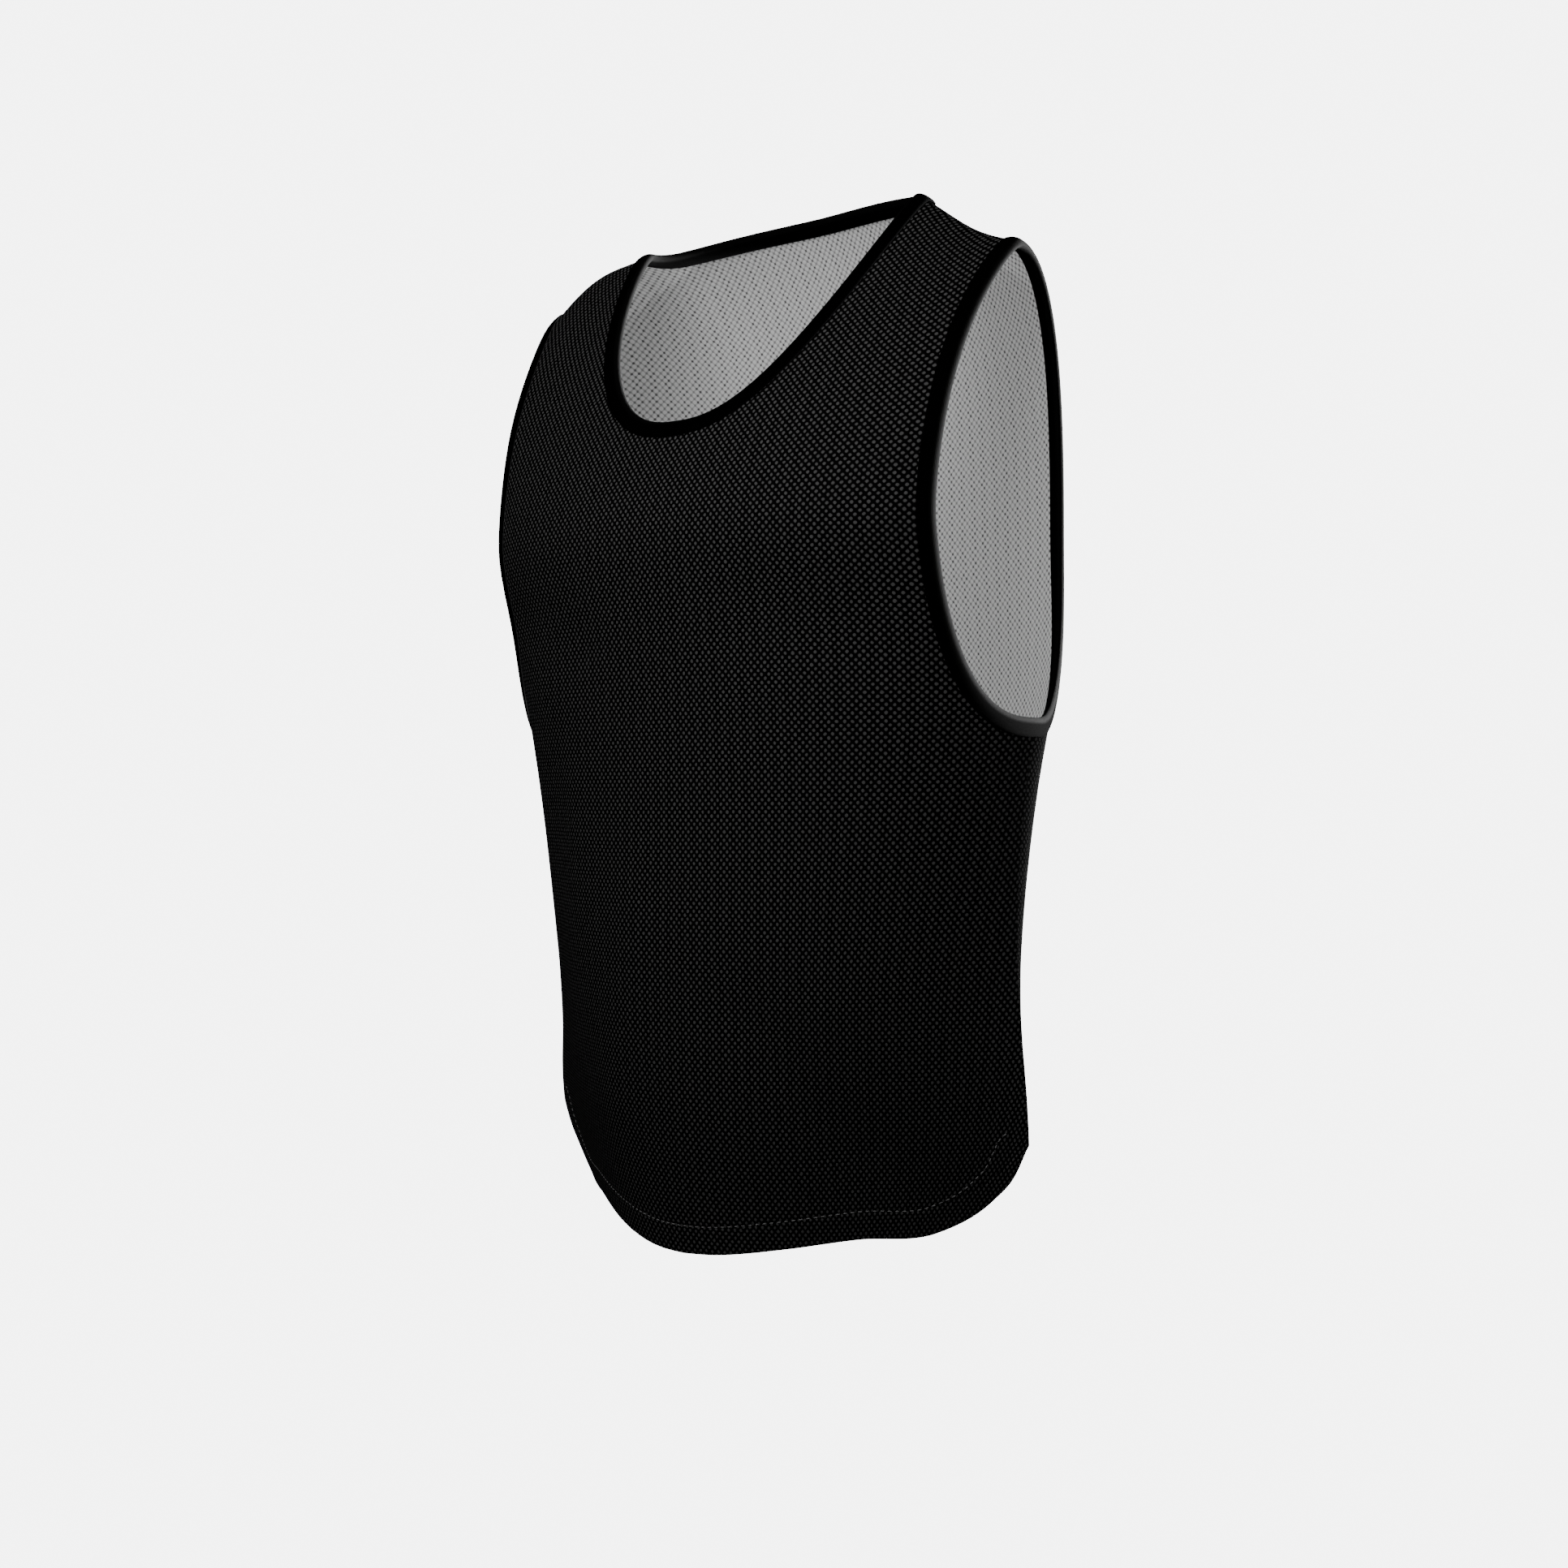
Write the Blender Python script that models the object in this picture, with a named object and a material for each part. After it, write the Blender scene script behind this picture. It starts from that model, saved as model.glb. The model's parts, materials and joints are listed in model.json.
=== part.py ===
"""Reversible training bib: two plies of knitted mesh cut as a front and a back,
joined at the sides and shoulders, with bound neck and armholes and a curved hem.

Metres, +Z up. The origin lies midway between the neck ends of the two shoulder
seams, where a pair of shoulders holds the bib up. The front faces -Y and the
wearer's left is +X. The bib is filled out as on a general figure, hollow inside.
"""
import bmesh
import bpy
import numpy as np

# ---- cloth -----------------------------------------------------------------
PLY = 0.0010              # one ply of mesh, walls of 1.0 mm
PLY_GAP = 0.0003          # air between the outer and the inner ply
SEAM_GAP = 0.0003         # between the front and the back at a seam
WALL = 2 * PLY + PLY_GAP  # both plies together

# ---- body of the bib, horizontal sections ----------------------------------
CHEST = -0.220            # height of the chest section, below the shoulders
SOFT = 0.010              # the break at the chest is rounded over about this height
# height   half width  front depth  back depth  centre y  side roundness
SECTIONS = (
    (-0.220, 0.219,     0.130,       0.101,       0.000,    2.10),
    (-0.300, 0.2015,    0.118,       0.1165,      0.000,    1.95),
    (-0.380, 0.189,     0.111,       0.1165,     -0.002,    1.70),
    (-0.480, 0.184,     0.1105,      0.1155,     -0.003,    1.28),
    (-0.580, 0.191,     0.108,       0.116,      -0.002,    0.78),
    (-0.680, 0.186,     0.108,       0.117,       0.012,    0.62),
)
FRONT_SQUARE, BACK_SQUARE = 2.05, 1.94
SIDE_ROUND = 0.003        # radius left at the side seam

# ---- shoulders -------------------------------------------------------------
NECK_HALF = 0.108         # half the neck width at the shoulder seam
TIP_HALF = 0.192          # half the width between the shoulder tips
TIP_DROP = 0.045          # fall of the shoulder seam to its tip
TIP_FORWARD = 0.009       # the tip lies this far in front of the neck end
ROLL = 0.0035             # the left neck end stands this much higher, the right lower
CROWN = {+1: -0.006, -1: 0.012}   # left shoulder dips, right one stands fuller
RIGHT_FORWARD = 0.009     # and leans this much further forward
RIGHT_HITCH = 0.009       # the hem hangs this much higher towards the right side
CHEST_SLOPE = -0.05       # 1 a rounded top of the chest, 0 a sloping one
CHEST_ROUND = 0.72        # added to it towards the armhole
BACK_FULL = 2.95          # roundness of the upper back
BACK_EASE = 0.26          # taken off it towards the armhole

# ---- outlines of the openings, on the fold of the binding ------------------
NECK_DROP_FRONT = 0.1455
NECK_ROUND, NECK_SIDE = 2.45, 1.15
NECK_RISE_BACK = 0.0155
UNDERARM = -0.3330        # height of the lowest point of the armhole
# face   narrowest half width  its place down the armhole  upper curve  lower a, b
ARMHOLE = {
    -1: (0.1755,               0.69,                       4.50,        2.17, 1.77),
    +1: (0.1820,               0.55,                       2.45,        1.90, 1.71),
}
# hem: share of the half width, height in front, height behind
HEM = (
    (0.00, -0.668, -0.668),
    (0.12, -0.667, -0.667),
    (0.35, -0.661, -0.661),
    (0.55, -0.6545, -0.648),
    (0.75, -0.651, -0.624),
    (0.90, -0.630, -0.604),
    (0.96, -0.6145, -0.5985),
    (1.00, -0.5955, -0.5955),
)

# ---- binding ---------------------------------------------------------------
TAPE = 0.0010             # thickness of the binding tape
TAPE_GAP = 0.0003         # between the tape and the mesh
TAPE_LEG = 0.0092         # how far it reaches over the mesh on each side
FOLD_REACH = WALL / 2 + TAPE_GAP + TAPE   # the fold stands this far past the cloth

# ---- soft folds of the cloth: from, to, width, height (minus is a trough) ---
# face  hand   x from  z from   x to   z to   width   height
FOLDS = (
    (-1, +1,   0.045, -0.262,  0.150, -0.285,  0.030, -0.0030),
    (-1, -1,   0.060, -0.285,  0.165, -0.262,  0.026, -0.0035),
    (-1, +1,   0.100, -0.470,  0.172, -0.600,  0.020,  0.0035),
    (-1, +1,   0.045, -0.500,  0.120, -0.620,  0.020, -0.0035),
    (-1, -1,   0.120, -0.360,  0.150, -0.560,  0.022, -0.0030),
    (-1, -1,   0.020, -0.430,  0.060, -0.600,  0.026,  0.0025),
    (+1, +1,   0.060, -0.300,  0.110, -0.520,  0.024, -0.0030),
    (+1, -1,   0.080, -0.280,  0.120, -0.500,  0.026, -0.0030),
    (+1, +1,   0.120, -0.430,  0.060, -0.600,  0.022,  0.0030),
    (+1, -1,   0.030, -0.400,  0.100, -0.590,  0.022,  0.0025),
)

# ---- mesh density ----------------------------------------------------------
ROWS_BODY, ROWS_CHEST, ROWS_STRAP = 11, 5, 9
COLS_NECK, COLS_STRAP, COLS_ARM = 5, 6, 4
# where an opening's edge turns from lying to standing, as a share of its length:
# armhole up to the body's corner, armhole up to the strap's corner, neck corner
CORNERS = {-1: (0.22, 0.50, 0.36), +1: (0.22, 0.62, 0.50)}


def curve(at, table, column):
    """Smooth curve through one column of a table whose first column is the place."""
    t = np.array(sorted((row[0], row[column]) for row in table))
    x, y = t[:, 0], t[:, 1]
    h, d = np.diff(x), np.diff(y) / np.diff(x)
    m = np.concatenate(([d[0]], (d[:-1] * h[1:] + d[1:] * h[:-1]) / (h[:-1] + h[1:]), [d[-1]]))
    at = np.clip(np.asarray(at, float), x[0] - 0.02, x[-1])
    i = np.clip(np.searchsorted(x, at) - 1, 0, len(h) - 1)
    s = (at - x[i]) / h[i]
    return ((2 * s**3 - 3 * s**2 + 1) * y[i] + (s**3 - 2 * s**2 + s) * h[i] * m[i]
            + (3 * s**2 - 2 * s**3) * y[i + 1] + (s**3 - s**2) * h[i] * m[i + 1])


def below_chest(z):
    """The height itself below the chest, easing into the chest's height above it."""
    return CHEST - SOFT * np.logaddexp(0, (CHEST - z) / SOFT)


def half_width(z):
    """Half the width of a section, the same in front and behind."""
    return curve(below_chest(z), SECTIONS, 1)


def shoulder_line(x):
    """Height and y of the shoulder ridge over a half width x, level at the neck."""
    run = TIP_HALF - NECK_HALF
    u = (x - NECK_HALF) / run
    zo = -TIP_DROP * u
    yo = -TIP_FORWARD * u
    inside = (NECK_HALF**2 - x**2) / (2 * NECK_HALF) / run
    outside = x > NECK_HALF
    return (np.where(outside, zo, TIP_DROP * inside),
            np.where(outside, yo, TIP_FORWARD * inside))


def place(x, z):
    """Cloth coordinates (turn, fall) of the point seen at x, z from the front."""
    turn = np.arcsin(np.clip(x / half_width(z), 0, 1))
    top, _ = shoulder_line(half_width(0.0) * np.sin(turn))
    return turn, np.sqrt(np.clip((top - z) / (top - CHEST), 0, None))


def fold_height(x, z, turn, fall, face, hand):
    """Soft ridges and troughs: a bell across each line, fading to both its ends."""
    out = np.zeros(np.shape(x))
    for f, h, x0, z0, x1, z1, width, height in FOLDS:
        if f == face and h == hand:
            dx, dz = x1 - x0, z1 - z0
            along = ((x - x0) * dx + (z - z0) * dz) / (dx * dx + dz * dz)
            off = ((x - x0) * dz - (z - z0) * dx) / np.hypot(dx, dz)
            past = np.maximum(0, np.abs(along - 0.5) - 0.30)
            out += height * np.exp(-(off / width)**2 - (past / 0.22)**2)
    return out * (1 - np.sin(turn)**10) * np.clip(fall / 0.5, 0, 1)**2 * np.clip(turn / 0.15, 0, 1)


def sway(x, z, fall, hand):
    """How far the wearer's stance carries the cloth in y and z, the same on both faces."""
    upper = np.exp(-(fall / 0.5)**2)
    across = np.clip((x - NECK_HALF + 0.01) / (TIP_HALF - NECK_HALF + 0.01), 0, 1)
    rise = hand * ROLL * np.sin(np.clip(x / 0.22, 0, 1) * np.pi) * upper
    rise = rise + CROWN[hand] * np.sin(across**1.3 * np.pi)**1.4 * upper
    if hand > 0:
        return 0 * x, rise
    s = np.clip(x / TIP_HALF, 0, 1)
    raised = np.sin(np.minimum(s / 0.8, 1) * np.pi / 2)**2
    hitch = RIGHT_HITCH * raised * np.clip((-0.55 - z) / 0.10, 0, 1)**2
    return -RIGHT_FORWARD * np.exp(-((z + 0.120) / 0.065)**2) * s**2, rise + hitch


def bare(turn, fall, face):
    """Point of the smooth form: sections below the chest, an arched yoke above it."""
    xs = half_width(0.0) * np.sin(turn)
    top, top_y = shoulder_line(xs)
    z = top - fall**2 * (top - CHEST)
    zz = below_chest(z)
    s = np.clip(np.sin(turn), 0, 1)
    n = FRONT_SQUARE if face < 0 else BACK_SQUARE
    depth = curve(zz, SECTIONS, 2 if face < 0 else 3)
    bulge = np.maximum(1 - s**n, 0) ** (1 / curve(zz, SECTIONS, 5))
    rim = SIDE_ROUND * np.sqrt(np.maximum(1 - s**20, 0))
    ring = curve(zz, SECTIONS, 4) + face * (depth * bulge + rim)
    q = np.clip(fall**2, 0, 1)
    if face < 0:
        w = CHEST_SLOPE + CHEST_ROUND * s**2
        lift = w * np.sqrt(np.maximum(1 - (1 - q)**2, 0)) + (1 - w) * (1 - (1 - q)**1.5)
    else:
        lift = np.sqrt(np.maximum(1 - (1 - q)**(BACK_FULL - BACK_EASE * s**2), 0))
    y = np.where(fall < 1, top_y + (ring - top_y) * lift, ring)
    return np.stack((half_width(z) * s, y, z), -1)


def unit(v):
    return v / np.maximum(np.linalg.norm(v, axis=-1, keepdims=True), 1e-12)


def facing(turn, fall, face, form):
    """Outward normal of a form, by small steps both ways, level across each seam."""
    e = 1e-4
    a = form(np.minimum(turn + e, np.pi / 2), fall) - form(np.maximum(turn - e, 0), fall)
    b = form(turn, fall + e) - form(turn, np.maximum(fall - e, 0))
    n = unit(np.cross(b, a)) * -face
    n[..., 1] = np.where((turn > np.pi / 2 - 1e-6) | (fall < 1e-6), 0, n[..., 1])
    n[..., 0] = np.where(turn < 1e-6, 0, n[..., 0])
    return unit(n)


def cloth(turn, fall, face, hand):
    """Outer surface of the outer ply and its normal, for the wearer's left at hand +1."""
    def shape(u, v):
        p = bare(u, v, face)
        lift = fold_height(p[..., 0], p[..., 2], u, v, face, hand)
        ahead, rise = sway(p[..., 0], p[..., 2], v, hand)
        lean = np.stack((0 * ahead, ahead, rise), -1)
        return p + facing(u, v, face, lambda c, d: bare(c, d, face)) * lift[..., None] + lean
    p = shape(turn, fall)
    n = facing(turn, fall, face, shape)
    p[..., 1] += face * SEAM_GAP / 2
    return p, n


def spread(line, counts, stops=(), dense_end=1.0):
    """Re-space a dense line of (turn, fall, x, y, z) points to equal steps of length,
    with one count of steps for each stretch between stops, the last one graded."""
    run = np.concatenate(([0], np.cumsum(np.linalg.norm(np.diff(line[:, 2:], axis=0), axis=1))))
    ends = (0.0, *stops, 1.0)
    at = [0.0]
    for k, count in enumerate(counts):
        step = np.arange(1, count + 1) / count
        if k == len(counts) - 1:
            step = 1 - (1 - step)**dense_end
        at.extend(ends[k] + (ends[k + 1] - ends[k]) * step)
    at = np.array(at) * run[-1]
    return np.stack([np.interp(at, run, line[:, k]) for k in (0, 1)], -1)


def dense(x, z, face):
    turn, fall = place(x, z)
    return np.column_stack((turn, fall, bare(turn, fall, face)))


def armhole_edge(face, inset):
    """Armhole edge from the underarm up to the shoulder tip, cut back by inset."""
    narrow, at, up, low_a, low_b = ARMHOLE[face]
    w = 1 - np.linspace(0, 1, 400) ** 2.2
    tip, low = TIP_HALF - inset, UNDERARM - inset
    narrow = narrow - inset
    end = shoulder_line(np.array(tip))[0]
    z = end + (low - end) * w
    upper = tip - (tip - narrow) * (1 - np.abs(1 - np.minimum(w, at) / at)**up)
    t = np.clip((w - at) / (1 - at), 0, 1)
    wide = half_width(low)
    lower = narrow + (wide - narrow) * (1 - np.maximum(1 - t**low_a, 0)**(1 / low_b))
    x = np.where(w < at, upper, lower)
    line = dense(x, z, face)
    line[0, 0], line[-1, 1] = np.pi / 2, 0.0
    return line


def neck_edge(face, inset):
    """Neck edge from the centre up to the shoulder seam, cut back by inset."""
    s = np.linspace(0, 1, 400) * np.pi / 2
    half = NECK_HALF + inset
    if face < 0:
        x = half * np.sin(s) ** (2 / NECK_ROUND)
        z = -(NECK_DROP_FRONT + inset) * np.maximum(np.cos(s), 0) ** (2 / NECK_SIDE)
        z += shoulder_line(np.array(half))[0] * (x / half)**6
    else:
        x = half * s / (np.pi / 2)
        end = shoulder_line(np.array(half))[0]
        z = end + (NECK_RISE_BACK - inset - end) * (1 - (x / half)**2.6)
    line = dense(x, z, face)
    line[0, 0], line[-1, 1] = 0.0, 0.0
    return line


def strip(edge, face):
    """Inner side of the band along an edge: a step of TAPE_LEG square to it in the cloth."""
    u, v = edge[:, 0], edge[:, 1]
    e = 1e-4
    du = (bare(np.minimum(u + e, np.pi / 2), v, face) - bare(np.maximum(u - e, 0), v, face))
    du /= (np.minimum(u + e, np.pi / 2) - np.maximum(u - e, 0))[:, None]
    dv = (bare(u, v + e, face) - bare(u, np.maximum(v - e, 0), face))
    dv /= (v + e - np.maximum(v - e, 0))[:, None]
    p = bare(u, v, face)
    along = unit(np.gradient(p, axis=0))
    side = np.cross(unit(np.cross(du, dv)), along)
    a11, a12, a22 = (du * du).sum(1), (du * dv).sum(1), (dv * dv).sum(1)
    b1, b2 = (du * side).sum(1), (dv * side).sum(1)
    det = a11 * a22 - a12**2
    return np.stack(((a22 * b1 - a12 * b2) / det, (a11 * b2 - a12 * b1) / det), -1) * TAPE_LEG


def patch(low, top, left, right):
    """Blend of four border lines of cloth coordinates into a table of rows and columns."""
    s = np.linspace(0, 1, len(low))[None, :, None]
    t = np.linspace(0, 1, len(left))[:, None, None]
    return ((1 - s) * left[:, None] + s * right[:, None] + (1 - t) * low[None] + t * top[None]
            - (1 - s) * (1 - t) * low[0] - s * (1 - t) * low[-1]
            - (1 - s) * t * top[0] - s * t * top[-1])


def straight(a, b, count):
    return a + (b - a) * np.linspace(0, 1, count + 1)[:, None]


def half_panel(face):
    """Cloth coordinates of a half panel: body, chest and strap, and its bound strips."""
    arm_low, arm_high, neck_at = CORNERS[face]
    arm = spread(armhole_edge(face, FOLD_REACH), (COLS_ARM, ROWS_CHEST, ROWS_STRAP),
                 (arm_low, arm_high), 1.4)
    neck = spread(neck_edge(face, FOLD_REACH), (COLS_NECK, ROWS_STRAP), (neck_at,), 1.4)
    step_a, step_n = strip(arm, face), strip(neck, face)
    step_a *= np.sign(-step_a[len(arm) // 2, 0])
    step_n *= np.sign(step_n[len(neck) // 2, 0])
    step_a[0, 0] = step_a[-1, 1] = step_n[0, 0] = step_n[-1, 1] = 0
    for edge, step in ((arm, step_a), (neck, step_n)):   # full length of a step at the seams
        for k in (0, -1):
            reach = np.linalg.norm(bare(*(edge[k] + step[k]), face) - bare(*edge[k], face))
            step[k] *= TAPE_LEG / max(reach, 1e-9)
    arm_in, neck_in = arm + step_a, neck + step_n
    # the hem and the centre line
    share = np.sin(np.linspace(0, np.pi / 2, 400))
    hem_z = curve(share, HEM, 1 if face < 0 else 2)
    hem = dense(share * half_width(hem_z), hem_z, face)
    hem[-1, 0] = np.pi / 2
    hem = spread(hem, (COLS_NECK + COLS_STRAP + COLS_ARM,))
    k1, k2 = COLS_ARM, COLS_ARM + ROWS_CHEST
    body_top = bare(*arm_in[k1], face)[2]
    middle = place(np.zeros(1), np.array([body_top - 0.004]))
    middle = np.array([0.0, middle[1][0]])
    waist = straight(middle, arm_in[k1], COLS_NECK + COLS_STRAP)
    body = patch(hem, np.concatenate((waist, arm_in[k1 - 1::-1])),
                 straight(hem[0], middle, ROWS_BODY), straight(hem[-1], arm_in[0], ROWS_BODY))
    across = straight(neck_in[COLS_NECK], arm_in[k2], COLS_STRAP)
    chest = patch(waist, np.concatenate((neck_in[:COLS_NECK], across)),
                  straight(middle, neck_in[0], ROWS_CHEST), arm_in[k1:k2 + 1])
    yoke = patch(across, straight(neck_in[-1], arm_in[-1], COLS_STRAP),
                 neck_in[COLS_NECK:], arm_in[k2:])
    return (body, chest, yoke), arm, arm_in, neck, neck_in


def net(bm, layer, points, normals, slant):
    """A grid primitive laid on a table of points, with the cloth's normal kept on each.
    A bound strip is cut into triangles, slanting up (+1) or down (-1) its rows."""
    rows, cols = points.shape[:2]
    made = bmesh.ops.create_grid(bm, x_segments=cols - 1, y_segments=rows - 1, size=0.5)
    for v in made["verts"]:
        j = round((v.co.x + 0.5) * (cols - 1))
        i = round((v.co.y + 0.5) * (rows - 1))
        v[layer] = normals[i, j]
        v.co = points[i, j]
        v.index = i * cols + j
    if slant:
        for face in {f for v in made["verts"] for f in v.link_faces}:
            ends = sorted(face.verts, key=lambda v: v.index)
            pair = (ends[0], ends[3]) if slant > 0 else (ends[1], ends[2])
            bmesh.utils.face_split(face, *pair)


def wall(name, nets, top, thick, material):
    """One ply: open nets welded where they touch, lifted to top, then extruded by thick
    along the cloth's own normals, so that the rims at a seam stay in the seam's plane."""
    bm = bmesh.new()
    layer = bm.verts.layers.float_vector.new("cloth_normal")
    for points, normals, slant in nets:
        net(bm, layer, points, normals, slant)
    bmesh.ops.remove_doubles(bm, verts=bm.verts, dist=1e-6)
    for v in bm.verts:
        v.co += v[layer] * top
    made = bmesh.ops.extrude_face_region(bm, geom=bm.faces[:], use_keep_orig=True)
    for v in made["geom"]:
        if isinstance(v, bmesh.types.BMVert):
            v.co -= v[layer] * thick
    bmesh.ops.recalc_face_normals(bm, faces=bm.faces)
    return keep(name, bm, material)


def binding(name, stations, material):
    """Tape folded round a raw edge: a U section carried round the closed edge.

    Each station is (edge, edge normal, strip, strip normal), where the strip point lies
    a leg's length into the cloth. Section columns: reach into the cloth, height over it.
    The legs are cut on the same slant as the strip of mesh under them."""
    half = FOLD_REACH
    mid = -WALL / 2
    d = half * 0.7071
    section = (
        (TAPE_LEG, TAPE_GAP + TAPE), (0.0, TAPE_GAP + TAPE), (-d, mid + d), (-half, mid),
        (-d, mid - d), (0.0, -WALL - TAPE_GAP - TAPE), (TAPE_LEG, -WALL - TAPE_GAP - TAPE),
        (TAPE_LEG, -WALL - TAPE_GAP), (0.0, -WALL - TAPE_GAP), (TAPE - half, mid),
        (0.0, TAPE_GAP), (TAPE_LEG, TAPE_GAP),
    )
    edge, en, into, sn = (np.array(c) for c in zip(*stations))
    out = unit(edge - into)
    out = unit(out - en * (out * en).sum(1)[:, None])
    rings = []
    for reach, height in section:
        rings.append(into + sn * height if reach > 0 else edge + en * height - out * reach)
    bm = bmesh.new()
    rows = [[bm.verts.new(p) for p in ring] for ring in rings]
    count = len(stations)
    for i in range(len(rows)):
        a, b = rows[i], rows[(i + 1) % len(rows)]
        for j in range(count):
            k = (j + 1) % count
            if section[i][0] > section[(i + 1) % len(rows)][0]:
                bm.faces.new((a[j], a[k], b[j]))
                bm.faces.new((a[k], b[k], b[j]))
            else:
                bm.faces.new((a[j], a[k], b[k]))
                bm.faces.new((a[j], b[k], b[j]))
    bmesh.ops.recalc_face_normals(bm, faces=bm.faces)
    return keep(name, bm, material)


def keep(name, bm, material):
    mesh = bpy.data.meshes.new(name)
    bm.to_mesh(mesh)
    bm.free()
    mesh.materials.append(material)
    part = bpy.data.objects.new(name, mesh)
    bib.objects.link(part)
    return part


def make_material(name, colour, roughness):
    mat = bpy.data.materials.new(name)
    mat.use_nodes = True
    bsdf = mat.node_tree.nodes["Principled BSDF"]
    bsdf.inputs["Base Color"].default_value = (*colour, 1)
    bsdf.inputs["Roughness"].default_value = roughness
    bsdf.inputs["Metallic"].default_value = 0.0
    mat.diffuse_color = (*colour, 1)
    return mat


def laid(net_uv, face, hand):
    """Points and normals of a net of cloth coordinates, turned to the wearer's left or right."""
    p, n = cloth(net_uv[..., 0], net_uv[..., 1], face, hand)
    flip = np.array((hand, 1.0, 1.0))
    return p * flip, n * flip


for old in list(bpy.data.objects):
    bpy.data.objects.remove(old, do_unlink=True)
bib = bpy.data.collections.new("reversible_training_bib")
bpy.context.scene.collection.children.link(bib)

black_mesh = make_material("black_mesh", (0.018, 0.018, 0.019), 0.75)
white_mesh = make_material("white_mesh", (0.62, 0.62, 0.62), 0.85)
black_tape = make_material("black_tape", (0.012, 0.012, 0.013), 0.55)

edges = {}
for face, label in ((-1, "front"), (+1, "back")):
    fields, arm, arm_in, neck, neck_in = half_panel(face)
    nets = []
    for hand in (+1, -1):
        nets.extend((*laid(field, face, hand), 0) for field in fields)
        for kind, line, line_in in (("arm", arm, arm_in), ("neck", neck, neck_in)):
            band = laid(np.stack((line, line_in), 1), face, hand)
            edges[face, hand, kind] = band
            nets.append((*band, -face if kind == "arm" else -face * hand))
    wall("outer_" + label, nets, 0.0, PLY, black_mesh)
    wall("inner_" + label, nets, -PLY - PLY_GAP, PLY, white_mesh)


def run(face, hand, kind):
    p, n = edges[face, hand, kind]
    return [(p[i, 0], n[i, 0], p[i, 1], n[i, 1]) for i in range(len(p))]


def halfway(a, b):
    return tuple((x + y) / 2 for x, y in zip(a, b))


def joined(front, back):
    """Front run from low to high, then the back run down again, meeting at the seam."""
    return front[:-1] + [halfway(front[-1], back[-1])] + back[-2:0:-1]


for hand, label in ((+1, "left"), (-1, "right")):
    front, back = run(-1, hand, "arm"), run(+1, hand, "arm")
    loop = joined(front, back)
    loop[0] = halfway(front[0], back[0])
    binding(label + "_armhole_binding", loop, black_tape)

left = joined(run(-1, +1, "neck"), run(+1, +1, "neck"))
right = joined(run(-1, -1, "neck"), run(+1, -1, "neck"))
binding("neck_binding", left + [run(+1, +1, "neck")[0]] + right[:0:-1], black_tape)
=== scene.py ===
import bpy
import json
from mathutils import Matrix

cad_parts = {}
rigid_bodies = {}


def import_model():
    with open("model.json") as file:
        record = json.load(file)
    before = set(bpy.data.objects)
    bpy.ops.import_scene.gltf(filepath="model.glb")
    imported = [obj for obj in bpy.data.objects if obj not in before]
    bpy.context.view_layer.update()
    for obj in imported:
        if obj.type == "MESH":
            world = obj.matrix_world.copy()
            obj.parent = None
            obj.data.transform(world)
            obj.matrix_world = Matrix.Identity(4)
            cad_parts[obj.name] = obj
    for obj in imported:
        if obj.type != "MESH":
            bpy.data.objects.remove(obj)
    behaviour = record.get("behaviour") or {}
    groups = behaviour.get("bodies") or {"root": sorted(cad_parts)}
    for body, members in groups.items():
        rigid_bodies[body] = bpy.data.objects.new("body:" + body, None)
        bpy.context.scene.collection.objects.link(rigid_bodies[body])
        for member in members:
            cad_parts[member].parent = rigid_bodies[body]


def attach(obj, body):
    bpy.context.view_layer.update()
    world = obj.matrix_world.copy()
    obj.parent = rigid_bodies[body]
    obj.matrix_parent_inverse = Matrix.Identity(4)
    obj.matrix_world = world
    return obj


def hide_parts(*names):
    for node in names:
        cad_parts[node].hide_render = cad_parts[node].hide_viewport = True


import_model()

"""Reversible training bib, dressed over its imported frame.

Metres, +Z up, the front faces -Y and the wearer's left is +X. Every piece is a surface
over two cloth coordinates: turn, from the centre of a panel to its side seam, and fall,
from the shoulder ridge (0) past the chest (1) down to the hem.
"""
import functools
import json
import math

import bpy
import numpy as np
from bpy.props import FloatProperty, FloatVectorProperty, IntProperty, PointerProperty
from bpy.types import Operator, Panel, PropertyGroup
from mathutils import Vector

bl_info = {
    "name": "Reversible Training Bib",
    "version": (1, 0, 0),
    "blender": (4, 5, 0),
    "location": "View3D > Sidebar > Bib",
    "description": "Mesh cloth, bindings, hem stitches and a plain stage for a training bib",
    "category": "Object",
}

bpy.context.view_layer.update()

# ---- the form, in metres, as in the solids --------------------
CHEST = -0.220            # height of the chest section
SOFT = 0.010              # the break at the chest is rounded over about this height
# height   half width  front depth  back depth  centre y  side roundness
SECTIONS = (
    (-0.220, 0.219,     0.130,       0.101,       0.000,    2.10),
    (-0.300, 0.2015,    0.118,       0.1165,      0.000,    1.95),
    (-0.380, 0.189,     0.111,       0.1165,     -0.002,    1.70),
    (-0.480, 0.184,     0.1105,      0.1155,     -0.003,    1.28),
    (-0.580, 0.191,     0.108,       0.116,      -0.002,    0.78),
    (-0.680, 0.186,     0.108,       0.117,       0.012,    0.62),
)
FRONT_SQUARE, BACK_SQUARE = 2.05, 1.94   # power of x in the superellipse of a section
SIDE_ROUND = 0.003        # radius left at the side seam
NECK_HALF = 0.108         # half the neck width at the shoulder seam
TIP_HALF = 0.192          # half the width between the shoulder tips
TIP_DROP = 0.045          # fall of the shoulder seam to its tip
TIP_FORWARD = 0.009       # the tip lies this far in front of the neck end
ROLL = 0.0035             # the left neck end stands this much higher, the right lower
CROWN = {+1: -0.006, -1: 0.012}   # left shoulder dips, right one stands fuller
RIGHT_FORWARD = 0.009     # and leans this much further forward,
LEAN_AT, LEAN_OVER = -0.120, 0.065      # most of all at this height, and over this much
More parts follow.
